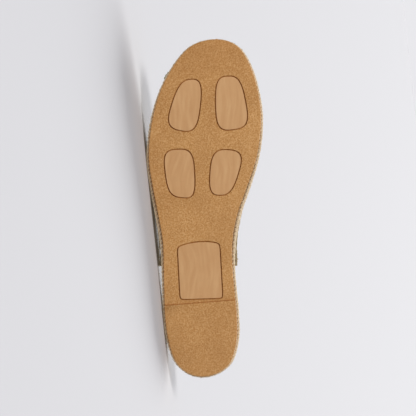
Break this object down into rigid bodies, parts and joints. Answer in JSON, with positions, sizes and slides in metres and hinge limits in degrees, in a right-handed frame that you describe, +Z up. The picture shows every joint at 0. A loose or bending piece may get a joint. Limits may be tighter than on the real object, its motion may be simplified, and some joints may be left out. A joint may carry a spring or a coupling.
{
  "type": "espadrille",
  "caption": "Closed-toe, open-heel espadrille slip-on for the right foot: canvas vamp sewn to a rope sole with a rubber outsole, lying on its outer side.",
  "frame": {"origin": "on the floor, under the middle of the shoe's box as it lies on its outer side", "axes": "-X towards the toe, -Y out of the tread of the sole, +Z up, towards the inner side of the foot"},
  "size_m": [0.2498, 0.0626, 0.0896],
  "materials": {
    "crepe_rubber": "matt crepe-grained rubber, tan, with five smooth pads",
    "jute_rope": "braided natural rope, straw",
    "sock_cloth": "plain woven cloth",
    "canvas": "plain woven canvas, khaki taupe"
  },
  "bodies": {
    "root": {"outsole": "crepe_rubber", "rope_midsole": "jute_rope", "insole": "sock_cloth", "upper": "canvas"}
  },
  "joints": []
}
